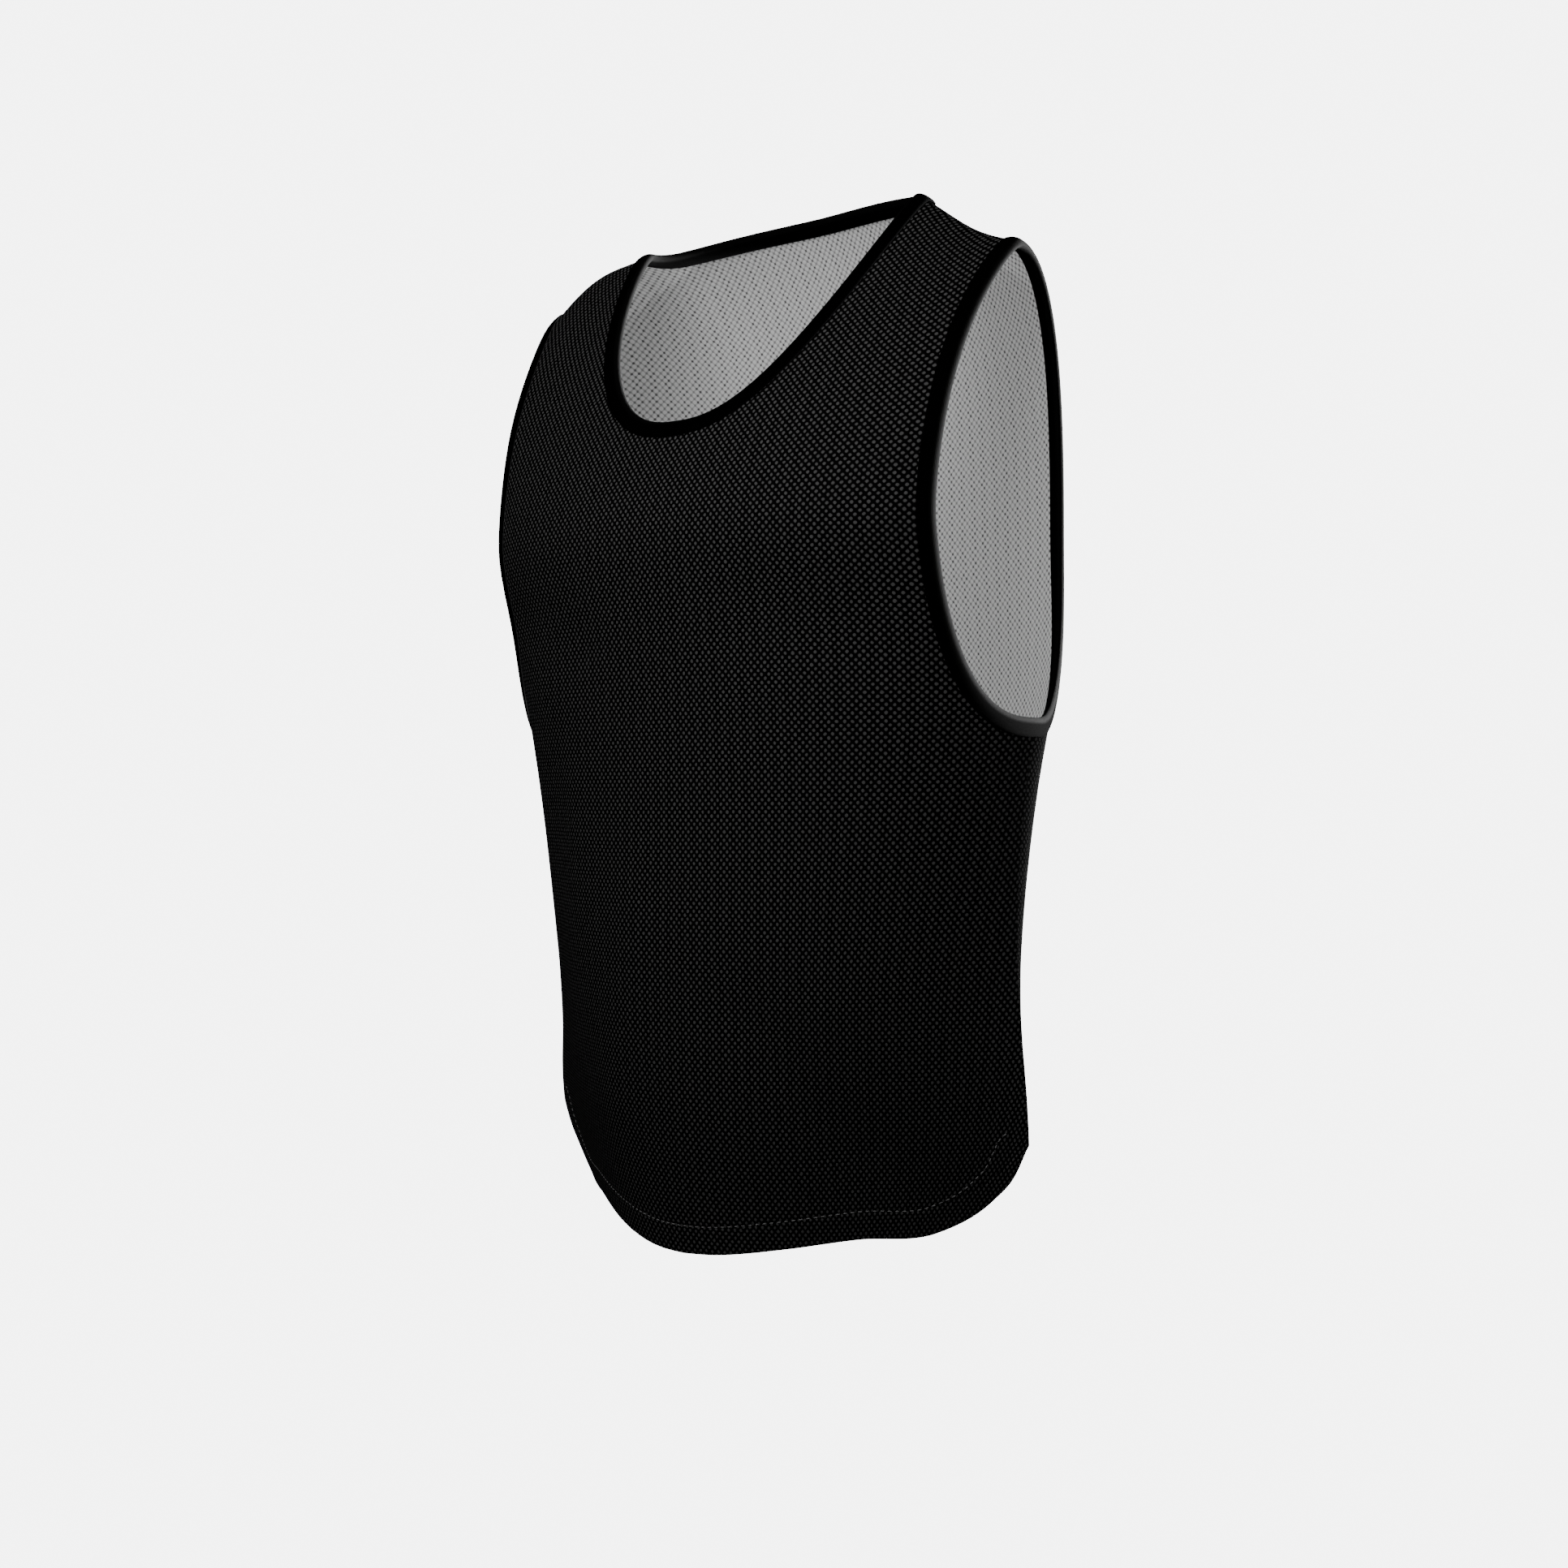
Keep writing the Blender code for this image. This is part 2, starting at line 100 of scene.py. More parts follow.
RIGHT_HITCH = 0.009       # the hem hangs this much higher towards the right side,
HITCH_FROM, HITCH_OVER = -0.55, 0.10    # from this height down, growing over this much
CHEST_SLOPE = -0.05       # 1 a rounded top of the chest, 0 a sloping one
CHEST_ROUND = 0.72        # added to it towards the armhole
BACK_FULL = 2.95          # roundness of the upper back
BACK_EASE = 0.26          # taken off it towards the armhole
NECK_DROP_FRONT = 0.1455  # depth of the scoop below the shoulders
NECK_ROUND, NECK_SIDE = 2.45, 1.15   # powers of the scoop's superellipse, in x and in z
NECK_RISE_BACK = 0.0155   # height of the arch behind above the shoulders
UNDERARM = -0.3330        # height of the lowest point of the armhole
# face   narrowest half width  its place down the armhole  upper curve  lower a, b
ARMHOLE = {
    -1: (0.1755,               0.69,                       4.50,        2.17, 1.77),
    +1: (0.1820,               0.55,                       2.45,        1.90, 1.71),
}
# hem: share of the half width, height in front, height behind
HEM = (
    (0.00, -0.668, -0.668),
    (0.12, -0.667, -0.667),
    (0.35, -0.661, -0.661),
    (0.55, -0.6545, -0.648),
    (0.75, -0.651, -0.624),
    (0.90, -0.630, -0.604),
    (0.96, -0.6145, -0.5985),
    (1.00, -0.5955, -0.5955),
)
SEAM_LAP = 0.0002         # the front and the back lap by this much at a seam
PLY_GAP = 0.0003          # air between the outer and the inner ply

# ---- soft folds: from, to, width, height (minus is a trough) ----
# face  hand   x from  z from   x to   z to   width   height
FOLDS = (
    (-1, +1,   0.045, -0.262,  0.150, -0.285,  0.030, -0.0030),
    (-1, -1,   0.060, -0.285,  0.165, -0.262,  0.026, -0.0035),
    (-1, +1,   0.100, -0.480,  0.165, -0.620,  0.028,  0.0025),
    (-1, +1,   0.045, -0.500,  0.120, -0.620,  0.020, -0.0035),
    (-1, -1,   0.120, -0.360,  0.150, -0.560,  0.022, -0.0030),
    (-1, -1,   0.020, -0.430,  0.060, -0.600,  0.026,  0.0025),
    (+1, +1,   0.060, -0.300,  0.110, -0.520,  0.024, -0.0030),
    (+1, -1,   0.080, -0.280,  0.120, -0.500,  0.026, -0.0030),
    (+1, +1,   0.120, -0.430,  0.060, -0.600,  0.022,  0.0030),
    (+1, -1,   0.030, -0.400,  0.100, -0.590,  0.022,  0.0025),
)

FOLD_FULL = 0.30          # a fold keeps its height over this share of its run each way
FOLD_FADE = 0.22          # and fades over this share beyond

# ---- mesh density ---------------------------------------------
ROWS_BODY, ROWS_CHEST, ROWS_STRAP = 11, 5, 9
COLS_NECK, COLS_STRAP, COLS_ARM = 5, 6, 4
# where an opening's edge turns from lying to standing, as a share of its length:
# armhole up to the body's corner, armhole up to the strap's corner, neck corner
CORNERS = {-1: (0.22, 0.50, 0.36), +1: (0.22, 0.62, 0.50)}
FINE = 5                  # cells of the cloth for each cell of the solids
BAND_CELLS = 3            # cells across the bound strip
BAND_GRADED = 1.4         # cells of a bound edge are this power denser towards the shoulder
EDGE_POINTS = 1600        # points of an edge before it is spaced evenly
SMALL = 1e-4              # step of turn or fall from which slopes are taken

# ---- how the knit is stretched --------------------------------
SIDE_PULL = 0.5           # the knit is this share wider at the side seams
SLOPE_PULL = 0.6          # and is drawn out a little where the chest and shoulders lean


# ---- the form as functions ------------------------------------
def curve(at, table, column):
    """Smooth curve through one column of a table whose first column is the place:
    cubic Hermite pieces whose slopes are the weighted means of the neighbours'."""
    t = np.array(sorted((row[0], row[column]) for row in table))
    x, y = t[:, 0], t[:, 1]
    h, d = np.diff(x), np.diff(y) / np.diff(x)
    m = np.concatenate(([d[0]], (d[:-1] * h[1:] + d[1:] * h[:-1]) / (h[:-1] + h[1:]), [d[-1]]))
    at = np.clip(np.asarray(at, float), x[0] - 0.02, x[-1])
    i = np.clip(np.searchsorted(x, at) - 1, 0, len(h) - 1)
    s = (at - x[i]) / h[i]
    return ((2 * s**3 - 3 * s**2 + 1) * y[i] + (s**3 - 2 * s**2 + s) * h[i] * m[i]
            + (3 * s**2 - 2 * s**3) * y[i + 1] + (s**3 - s**2) * h[i] * m[i + 1])


def below_chest(z):
    """The height itself below the chest, easing into the chest's height above it."""
    return CHEST - SOFT * np.logaddexp(0, (CHEST - z) / SOFT)


def half_width(z):
    """Half the width of a section, the same in front and behind."""
    return curve(below_chest(z), SECTIONS, 1)


def shoulder_line(x):
    """Height and y of the shoulder ridge over a half width x, level at the neck."""
    run = TIP_HALF - NECK_HALF
    u = (x - NECK_HALF) / run
    inside = (NECK_HALF**2 - x**2) / (2 * NECK_HALF) / run
    outside = x > NECK_HALF
    return (np.where(outside, -TIP_DROP * u, TIP_DROP * inside),
            np.where(outside, -TIP_FORWARD * u, TIP_FORWARD * inside))


def place(x, z):
    """Cloth coordinates of the point seen at x, z from the front."""
    turn = np.arcsin(np.clip(x / half_width(z), 0, 1))
    top, _ = shoulder_line(half_width(0.0) * np.sin(turn))
    return turn, np.sqrt(np.clip((top - z) / (top - CHEST), 0, None))


def fold_height(x, z, turn, fall, face, hand):
    """Soft ridges and troughs: a bell across each line, fading to both its ends."""
    out = np.zeros(np.shape(x))
    for f, h, x0, z0, x1, z1, width, height in FOLDS:
        if f == face and h == hand:
            dx, dz = x1 - x0, z1 - z0
            along = ((x - x0) * dx + (z - z0) * dz) / (dx * dx + dz * dz)
            off = ((x - x0) * dz - (z - z0) * dx) / np.hypot(dx, dz)
            past = np.maximum(0, np.abs(along - 0.5) - FOLD_FULL)
            out += height * np.exp(-(off / width)**2 - (past / FOLD_FADE)**2)
    return out * (1 - np.sin(turn)**10) * np.clip(fall / 0.5, 0, 1)**2 * np.clip(turn / 0.15, 0, 1)


def sway(x, z, fall, hand):
    """How far the wearer's stance carries the cloth in y and z, the same on both faces."""
    upper = np.exp(-(fall / 0.5)**2)
    across = np.clip((x - NECK_HALF + 0.01) / (TIP_HALF - NECK_HALF + 0.01), 0, 1)
    rise = hand * ROLL * np.sin(np.clip(x / 0.22, 0, 1) * np.pi) * upper
    rise = rise + CROWN[hand] * np.sin(across**1.3 * np.pi)**1.4 * upper
    if hand > 0:
        return 0 * x, rise
    s = np.clip(x / TIP_HALF, 0, 1)
    raised = np.sin(np.minimum(s / 0.8, 1) * np.pi / 2)**2
    hitch = RIGHT_HITCH * raised * np.clip((HITCH_FROM - z) / HITCH_OVER, 0, 1)**2
    lean = RIGHT_FORWARD * np.exp(-((z - LEAN_AT) / LEAN_OVER)**2) * s**2
    return -lean, rise + hitch


def bare(turn, fall, face):
    """Point of the smooth form: superellipse sections below the chest, and above it an
    arch from the chest section up to the shoulder ridge."""
    xs = half_width(0.0) * np.sin(turn)
    top, top_y = shoulder_line(xs)
    z = top - fall**2 * (top - CHEST)
    zz = below_chest(z)
    s = np.clip(np.sin(turn), 0, 1)
    n = FRONT_SQUARE if face < 0 else BACK_SQUARE
    depth = curve(zz, SECTIONS, 2 if face < 0 else 3)
    bulge = np.maximum(1 - s**n, 0) ** (1 / curve(zz, SECTIONS, 5))
    rim = SIDE_ROUND * np.sqrt(np.maximum(1 - s**20, 0))
    ring = curve(zz, SECTIONS, 4) + face * (depth * bulge + rim)
    q = np.clip(fall**2, 0, 1)
    if face < 0:
        w = CHEST_SLOPE + CHEST_ROUND * s**2
        lift = w * np.sqrt(np.maximum(1 - (1 - q)**2, 0)) + (1 - w) * (1 - (1 - q)**1.5)
    else:
        lift = np.sqrt(np.maximum(1 - (1 - q)**(BACK_FULL - BACK_EASE * s**2), 0))
    y = np.where(fall < 1, top_y + (ring - top_y) * lift, ring)
    return np.stack((half_width(z) * s, y, z), -1)


def unit(v):
    """Vectors of length 1."""
    return v / np.maximum(np.linalg.norm(v, axis=-1, keepdims=True), 1e-12)


def facing(turn, fall, face, form):
    """Outward normal of a form, by small steps both ways, level across each seam."""
    a = (form(np.minimum(turn + SMALL, np.pi / 2), fall)
         - form(np.maximum(turn - SMALL, 0), fall))
    b = form(turn, fall + SMALL) - form(turn, np.maximum(fall - SMALL, 0))
    n = unit(np.cross(b, a)) * -face
    n[..., 1] = np.where((turn > np.pi / 2 - 1e-6) | (fall < 1e-6), 0, n[..., 1])
    n[..., 0] = np.where(turn < 1e-6, 0, n[..., 0])
    return unit(n)


def cloth(uv, face, hand):
    """Outer surface of the outer ply and its normal, turned to the wearer's left or right:
    the bare form, moved out by the folds and carried by the stance."""
    uv = np.round(uv, 9)

    def shape(u, v):
        p = bare(u, v, face)
        lift = fold_height(p[..., 0], p[..., 2], u, v, face, hand)
        ahead, rise = sway(p[..., 0], p[..., 2], v, hand)
        lean = np.stack((0 * ahead, ahead, rise), -1)
        return p + facing(u, v, face, lambda c, d: bare(c, d, face)) * lift[..., None] + lean
    p = shape(uv[..., 0], uv[..., 1])
    n = facing(uv[..., 0], uv[..., 1], face, shape)
    p[..., 1] -= face * SEAM_LAP / 2
    flip = np.array((hand, 1.0, 1.0))
    return p * flip, n * flip


def grain(uv, face, hand):
    """Place of each point in the knit, in metres: the length along the cloth from the
    centre line, shorter by SIDE_PULL at the side seam because the knit is drawn wide
    there, and the length down from the chest, of which a slope counts as the root of
    SLOPE_PULL x length squared + (1 - SLOPE_PULL) x fall squared."""
    turn, fall = np.linspace(0, np.pi / 2, 121), np.linspace(0, 1.95, 157)
    p = bare(*np.meshgrid(turn, fall, indexing="ij"), face)
    across = np.linalg.norm(np.diff(p, axis=0, prepend=p[:1]), axis=-1)
    across = np.cumsum(across / (1 + SIDE_PULL * np.sin(turn)[:, None]**2), axis=0)
    step = np.diff(p, axis=1, prepend=p[:, :1])
    down = np.cumsum(np.sqrt(SLOPE_PULL * (step**2).sum(-1)
                             + (1 - SLOPE_PULL) * step[..., 2]**2), axis=1)
    chest = np.argmin(np.abs(fall - 1))
    down = down - down[:, chest:chest + 1]
    a = uv[..., 0] / turn[1]
    b = uv[..., 1] / fall[1]
    i = np.clip(a.astype(int), 0, len(turn) - 2)
    j = np.clip(b.astype(int), 0, len(fall) - 2)
    s, t = a - i, b - j
    both = [(1 - s) * (1 - t) * g[i, j] + s * (1 - t) * g[i + 1, j]
            + (1 - s) * t * g[i, j + 1] + s * t * g[i + 1, j + 1] for g in (across, down)]
    return np.stack((both[0] * hand, -both[1]), -1)


def spread(line, counts, stops=(), graded=1.0):
    """Re-space a dense line of (turn, fall, x, y, z) points to equal steps of length,
    with one count of steps for each stretch between stops, the last one graded."""
    run = np.concatenate(([0], np.cumsum(np.linalg.norm(np.diff(line[:, 2:], axis=0), axis=1))))
    ends = (0.0, *stops, 1.0)
    at = [np.zeros(1)]
    for k, count in enumerate(counts):
        step = np.arange(1, count + 1) / count
        if k == len(counts) - 1:
            step = 1 - (1 - step)**graded
        at.append(ends[k] + (ends[k + 1] - ends[k]) * step)
    at = np.concatenate(at) * run[-1]
    return np.stack([np.interp(at, run, line[:, k]) for k in (0, 1)], -1)


def dense(x, z, face):
    """Cloth coordinates and points of a line seen at x, z from the front."""
    turn, fall = place(x, z)
    return np.column_stack((turn, fall, bare(turn, fall, face)))


def armhole_edge(face, inset):
    """Armhole edge from the underarm up to the shoulder tip, cut back by inset: a
    superellipse quarter below its narrowest place and a power curve above it."""
    narrow, at, up, low_a, low_b = ARMHOLE[face]
    w = 1 - np.linspace(0, 1, EDGE_POINTS) ** 2.2
    tip, low = TIP_HALF - inset, UNDERARM - inset
    narrow = narrow - inset
    end = shoulder_line(np.array(tip))[0]
    z = end + (low - end) * w
    upper = tip - (tip - narrow) * (1 - np.abs(1 - np.minimum(w, at) / at)**up)
    t = np.clip((w - at) / (1 - at), 0, 1)
    wide = half_width(low)
    lower = narrow + (wide - narrow) * (1 - np.maximum(1 - t**low_a, 0)**(1 / low_b))
    line = dense(np.where(w < at, upper, lower), z, face)
    line[0, 0], line[-1, 1] = np.pi / 2, 0.0
    return line


def neck_edge(face, inset):
    """Neck edge from the centre up to the shoulder seam, cut back by inset: a deep
    superellipse in front, a shallow arch behind."""
    s = np.linspace(0, 1, EDGE_POINTS) * np.pi / 2
    half = NECK_HALF + inset
    end = shoulder_line(np.array(half))[0]
    if face < 0:
        x = half * np.sin(s) ** (2 / NECK_ROUND)
        z = -(NECK_DROP_FRONT + inset) * np.maximum(np.cos(s), 0) ** (2 / NECK_SIDE)
        z += end * (x / half)**6
    else:
        x = half * s / (np.pi / 2)
        z = end + (NECK_RISE_BACK - inset - end) * (1 - (x / half)**2.6)
    line = dense(x, z, face)
    line[0, 0], line[-1, 1] = 0.0, 0.0
    return line


def strip(edge, face, reach):
    """A step of a given length square to an edge in the cloth, in cloth coordinates:
    the metric of the form turns the step's direction back into turn and fall."""
    u, v = edge[:, 0], edge[:, 1]
    u_next, u_last = np.minimum(u + SMALL, np.pi / 2), np.maximum(u - SMALL, 0)
    v_next, v_last = v + SMALL, np.maximum(v - SMALL, 0)
    du = (bare(u_next, v, face) - bare(u_last, v, face)) / (u_next - u_last)[:, None]
    dv = (bare(u, v_next, face) - bare(u, v_last, face)) / (v_next - v_last)[:, None]
    along = unit(np.gradient(bare(u, v, face), axis=0))
    side = np.cross(unit(np.cross(du, dv)), along)
    a11, a12, a22 = (du * du).sum(1), (du * dv).sum(1), (dv * dv).sum(1)
    b1, b2 = (du * side).sum(1), (dv * side).sum(1)
    det = a11 * a22 - a12**2
    return np.stack(((a22 * b1 - a12 * b2) / det, (a11 * b2 - a12 * b1) / det), -1) * reach


def patch(low, top, left, right):
    """Blend of four border lines of cloth coordinates into a table of rows and columns:
    both pairs of sides blended straight, less the blend of the four corners."""
    s = np.linspace(0, 1, len(low))[None, :, None]
    t = np.linspace(0, 1, len(left))[:, None, None]
    return ((1 - s) * left[:, None] + s * right[:, None] + (1 - t) * low[None] + t * top[None]
            - (1 - s) * (1 - t) * low[0] - s * (1 - t) * low[-1]
            - (1 - s) * t * top[0] - s * t * top[-1])


def straight(a, b, count):
    """Equal steps from a to b in cloth coordinates."""
    return a + (b - a) * np.linspace(0, 1, count + 1)[:, None]


def hem_line(face, count):
    """The hem from the centre to the side seam."""
    share = np.sin(np.linspace(0, np.pi / 2, EDGE_POINTS))
    z = curve(share, HEM, 1 if face < 0 else 2)
    line = dense(share * half_width(z), z, face)
    line[-1, 0] = np.pi / 2
    return spread(line, (count,))


@functools.cache
def half_panel(face, fold_reach, leg):
    """Cloth coordinates of a half panel: body, chest and strap, and its bound strips."""
    arm_low, arm_high, neck_at = CORNERS[face]
    c_neck, c_strap, c_arm = (FINE * c for c in (COLS_NECK, COLS_STRAP, COLS_ARM))
    r_body, r_chest, r_strap = (FINE * r for r in (ROWS_BODY, ROWS_CHEST, ROWS_STRAP))
    arm = spread(armhole_edge(face, fold_reach), (c_arm, r_chest, r_strap),
                 (arm_low, arm_high), BAND_GRADED)
    neck = spread(neck_edge(face, fold_reach), (c_neck, r_strap), (neck_at,), BAND_GRADED)
    step_a, step_n = strip(arm, face, leg), strip(neck, face, leg)
    step_a *= np.sign(-step_a[len(arm) // 2, 0])
    step_n *= np.sign(step_n[len(neck) // 2, 0])
    step_a[0, 0] = step_a[-1, 1] = step_n[0, 0] = step_n[-1, 1] = 0
    for edge, step in ((arm, step_a), (neck, step_n)):   # full length of a step at the seams
        for k in (0, -1):
            reach = np.linalg.norm(bare(*(edge[k] + step[k]), face) - bare(*edge[k], face))
            step[k] *= leg / max(reach, 1e-9)
    arm_in, neck_in = arm + step_a, neck + step_n
    hem = hem_line(face, c_neck + c_strap + c_arm)
    k1, k2 = c_arm, c_arm + r_chest
    body_top = bare(*arm_in[k1], face)[2]
    middle = place(np.zeros(1), np.array([body_top - 0.004]))
    middle = np.array([0.0, middle[1][0]])
    waist = straight(middle, arm_in[k1], c_neck + c_strap)
    body = patch(hem, np.concatenate((waist, arm_in[k1 - 1::-1])),
                 straight(hem[0], middle, r_body), straight(hem[-1], arm_in[0], r_body))
    across = straight(neck_in[c_neck], arm_in[k2], c_strap)
    chest = patch(waist, np.concatenate((neck_in[:c_neck], across)),
                  straight(middle, neck_in[0], r_chest), arm_in[k1:k2 + 1])
    yoke = patch(across, straight(neck_in[-1], arm_in[-1], c_strap),
                 neck_in[c_neck:], arm_in[k2:])
    bands = [patch(edge, inner, straight(edge[0], inner[0], BAND_CELLS),
                   straight(edge[-1], inner[-1], BAND_CELLS))
             for edge, inner in ((arm, arm_in), (neck, neck_in))]
    return (body, chest, yoke, *bands), arm, arm_in, neck, neck_in


# ---- arrays into meshes ---------------------------------------
def grid_faces(rows, cols, start=0, closed=(False, False)):
    """Quads of a grid of points counted row by row; closed joins the last to the first."""
    i = np.arange(rows if closed[0] else rows - 1)[:, None]
    j = np.arange(cols if closed[1] else cols - 1)[None, :]
    a, b = (i + 1) % rows, (j + 1) % cols
    return start + np.stack((i * cols + j, i * cols + b, a * cols + b, a * cols + j),
                            -1).reshape(-1, 4)


def weld(points, faces):
    """Points that share a place are made one. Returns the first of each, which of them
    each point became, and the faces."""
    key = np.round(points * 1e6).astype(np.int64)
    _, first, back = np.unique(key, axis=0, return_index=True, return_inverse=True)
    return first, back.reshape(-1), back.reshape(-1)[faces]


def mesh_piece(name, points, faces, uv, material, extra=None):
    """An object at the origin with its points, faces, UV map and point attributes."""
    mesh = bpy.data.meshes.new(name)
    mesh.from_pydata(points, [], faces.tolist())
    layer = mesh.uv_layers.new(name="UVMap")
    order = np.empty(len(mesh.loops), np.int32)
    mesh.loops.foreach_get("vertex_index", order)
    layer.data.foreach_set("uv", uv[order].astype(np.float32).ravel())
    for key, values in (extra or {}).items():
        mesh.attributes.new(key, "FLOAT", "POINT").data.foreach_set(
            "value", values.astype(np.float32))
    mesh.polygons.foreach_set("use_smooth", np.ones(len(mesh.polygons), bool))
    mesh.set_sharp_from_angle(angle=math.radians(55))
    mesh.materials.append(material)
    mesh.validate()
    piece = bpy.data.objects.new(name, mesh)
    bpy.context.scene.collection.objects.link(piece)
    return piece


def shell(name, nets, top, thick, material):
    """A closed thin wall. Outer point = cloth point + top x normal, inner point = outer
    point - thick x normal, and a rim joins the two along every open edge."""
    faces, start = [], 0
    for p, *_ in nets:
        faces.append(grid_faces(*p.shape[:2], start))
        start += p.shape[0] * p.shape[1]
    points, normals, uv, hem = (
        np.concatenate([net[k].reshape(-1, *net[k].shape[2:]) for net in nets])
        for k in range(4))
    first, back, faces = weld(points, np.concatenate(faces))
    mean = np.zeros((len(first), 3))
    np.add.at(mean, back, normals)
    points, normals, uv, hem = points[first], unit(mean), uv[first], hem[first]
    a, b, c = (points[faces[:, k]] for k in (0, 1, 2))
    turned = (np.cross(b - a, c - b) * normals[faces[:, 0]]).sum(1) < 0
    faces[turned] = faces[turned][:, ::-1]
    count = len(points)
    edges = np.stack((faces, np.roll(faces, -1, axis=1)), -1).reshape(-1, 2)
    open_ones = edges[~np.isin(edges[:, 0] * count + edges[:, 1],
                               edges[:, 1] * count + edges[:, 0])]
    rim = np.column_stack((open_ones[:, ::-1], open_ones + count))
    outer = points + normals * top
    return mesh_piece(
        name, np.concatenate((outer, outer - normals * thick)),
        np.concatenate((faces, faces[:, ::-1] + count, rim)),
        np.concatenate((uv, uv)), material, {"hem_distance": np.concatenate((hem, hem))})


# ---- shader maths ---------------------------------------------
class Wire:
    """A shader socket that can be reckoned with: each expression adds its Math nodes."""

    def __init__(self, tree, socket):
        self.tree, self.socket = tree, socket

    @staticmethod
    def node(tree, kind, settings=None, values=None, out=0):
        """Adds a node: its settings first, then the values or links of its sockets."""
        made = tree.nodes.new(kind)
        for key, value in (settings or {}).items():
            setattr(made, key, value)
        for key, value in (values or {}).items():
            if isinstance(value, Wire):
                tree.links.new(value.socket, made.inputs[key])
            else:
                made.inputs[key].default_value = value
        return Wire(tree, made.outputs[out])

    def math(self, operation, *others):
        return Wire.node(self.tree, "ShaderNodeMath", {"operation": operation},
                         dict(enumerate((self, *others))))

    def __add__(self, other):
        return self.math("ADD", other)

    def __sub__(self, other):
        return self.math("SUBTRACT", other)

    def __mul__(self, other):
        return self.math("MULTIPLY", other)

    def __rsub__(self, other):
        return Wire.node(self.tree, "ShaderNodeMath", {"operation": "SUBTRACT"},
                         {0: other, 1: self})

    __radd__ = __add__

    def cosine(self):
        return self.math("COSINE")

    def size(self):
        return self.math("ABSOLUTE")

    def step(self, low, high):
        """0 below low, 1 above high and a smooth rise between."""
        return Wire.node(self.tree, "ShaderNodeMapRange", {"interpolation_type": "SMOOTHSTEP"},
                         {"Value": self, "From Min": low, "From Max": high,
                          "To Min": 0.0, "To Max": 1.0})


def mixed(factor, a, b):
    """Colour a at factor 0 and colour b at factor 1."""
    made = factor.tree.nodes.new("ShaderNodeMix")
    made.data_type = "RGBA"
    factor.tree.links.new(factor.socket, made.inputs[0])
    for socket, value in ((made.inputs[6], a), (made.inputs[7], b)):
        if isinstance(value, Wire):
            factor.tree.links.new(value.socket, socket)
        else:
            socket.default_value = (*value, 1.0)
    return Wire(factor.tree, made.outputs[2])


def new_material(name, roughness, specular, sheen=0.0, sheen_rough=0.5):
    """A material with its constants set on the shader; returns it, its tree and shader."""
    material = bpy.data.materials.new(name)
    material.use_nodes = True
    tree = material.node_tree
    shader = tree.nodes["Principled BSDF"]
    shader.inputs["Roughness"].default_value = roughness
    shader.inputs["Specular IOR Level"].default_value = specular
    shader.inputs["Sheen Weight"].default_value = sheen
    shader.inputs["Sheen Roughness"].default_value = sheen_rough
    return material, tree, shader


def flat_place(tree):
    """The place in the flat cloth, in metres: both coordinates together, then each."""
    uv = Wire.node(tree, "ShaderNodeUVMap", {"uv_map": "UVMap"})
    parts = tree.nodes.new("ShaderNodeSeparateXYZ")
    tree.links.new(uv.socket, parts.inputs[0])
    return uv, Wire(tree, parts.outputs[0]), Wire(tree, parts.outputs[1])


def cloud(uv, scale, detail=1.0):
    """Soft noise from 0 to 1 over the flat cloth."""
    return Wire.node(uv.tree, "ShaderNodeTexNoise", {"noise_dimensions": "2D"},
                     {"Vector": uv, "Scale": scale, "Detail": detail})


def knit_waves(tree, cloth_size):
    """The two waves of the mesh knit, from the place in the flat cloth. In cells of
    repeat width and repeat height: dots = |cos(2 pi u) + cos(2 pi v)| / 2 is 1 in the
    middle of every dot and 0 along the diagonal threads, and crossings = |cos(2 pi v) -
    cos(2 pi u)| / 2 is 1 where the threads cross. The yarn wanders a little, and slack
    says how loose the knit is there, from -1 to 1."""
    uv, across, down = flat_place(tree)
    wide = across * (2 * math.pi / cloth_size.repeat_width)
    high = down * (2 * math.pi / cloth_size.repeat_height)
    a = (wide + (cloud(uv, 170.0) - 0.5) * 1.3).cosine()
    b = (high + (cloud(uv, 150.0) - 0.5)).cosine()
    slack = (wide * 0.46).cosine() * 0.5 + (cloud(uv, 330.0) - 0.5) * 2.2
    return uv, ((a + b) * 0.5).size(), ((b - a) * 0.5).size(), slack


def bumped(tree, shader, height, distance):
    """Relief of a given depth in metres on the shader's normal."""
    normal = Wire.node(tree, "ShaderNodeBump", {},
                       {"Height": height, "Distance": distance, "Strength": 1.0})
    tree.links.new(normal.socket, shader.inputs["Normal"])


def outer_mesh_material(cloth_size):
    """Black knitted mesh: grey rounded dots between black diagonal threads."""
    material, tree, shader = new_material("black_mesh_knit", 0.70, 0.03)
    uv, dots, _, slack = knit_waves(tree, cloth_size)
    plump = dots - slack * 0.07
    shade = plump.step(0.38, 0.88) * (0.72 + cloud(uv, 1100.0, 2.0) * 0.56)
    colour = mixed(shade, tuple(cloth_size.thread_colour), tuple(cloth_size.dot_colour))
    tree.links.new(colour.socket, shader.inputs["Base Color"])
    hem = Wire.node(tree, "ShaderNodeAttribute", {"attribute_name": "hem_distance"}, out=2)
    groove = 1.0 - (hem - bpy.context.scene.bib_hem.stitch_height).size().step(0.0, 0.0022)
    bumped(tree, shader, plump.step(0.1, 0.9) - groove * 1.5, cloth_size.relief)
    return material


